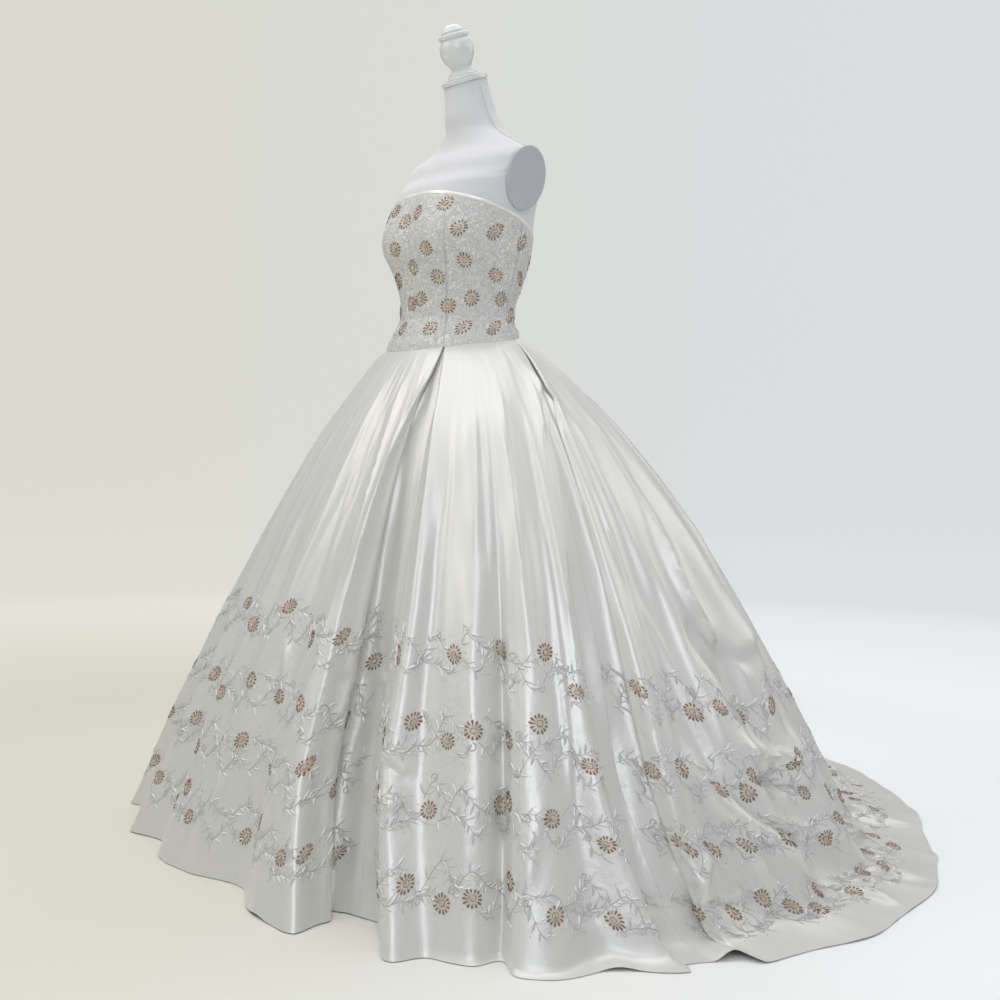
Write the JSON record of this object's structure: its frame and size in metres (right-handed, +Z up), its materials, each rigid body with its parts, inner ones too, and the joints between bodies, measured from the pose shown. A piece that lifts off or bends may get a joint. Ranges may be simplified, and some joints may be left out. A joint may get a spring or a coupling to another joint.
{
  "type": "wedding gown on dress form",
  "caption": "Strapless ball gown with a pleated full skirt and a train, standing on a limbless dress form with a round base.",
  "frame": {"origin": "centre of the base's flat underside on the floor, on the axis of the form's pole", "axes": "+Z up, -Y the way the gown's front faces, +X the wearer's left, the train runs to +Y"},
  "size_m": [1.8462, 1.8356, 1.727],
  "materials": {
    "ivory_satin": "heavy ivory satin with a soft sheen",
    "embroidered_net": "ivory net covered with thread and beads over satin",
    "satin_binding": "narrow bias strip of satin",
    "white_jersey": "matt stretch jersey",
    "white_gloss_paint": "white gloss paint",
    "grey_shoulder_plate": "matt grey",
    "brushed_pole": "brushed",
    "painted_base": "white satin paint"
  },
  "bodies": {
    "root": {"bodice_front": "embroidered_net", "bodice_side_front_left": "embroidered_net", "bodice_side_front_right": "embroidered_net", "bodice_side_back_left": "embroidered_net", "bodice_side_back_right": "embroidered_net", "bodice_back_left": "embroidered_net", "bodice_back_right": "embroidered_net", "neckline_binding": "satin_binding", "skirt_front": "ivory_satin", "skirt_side_left": "ivory_satin", "skirt_side_right": "ivory_satin", "skirt_side_back_left": "ivory_satin", "skirt_side_back_right": "ivory_satin", "skirt_back_left": "ivory_satin", "skirt_back_right": "ivory_satin", "form_torso": "white_jersey", "form_shoulder_plate_left": "grey_shoulder_plate", "form_shoulder_plate_right": "grey_shoulder_plate", "form_neck_plate": "white_gloss_paint", "form_finial": "white_gloss_paint", "form_pole": "brushed_pole", "form_base": "painted_base"}
  },
  "joints": []
}
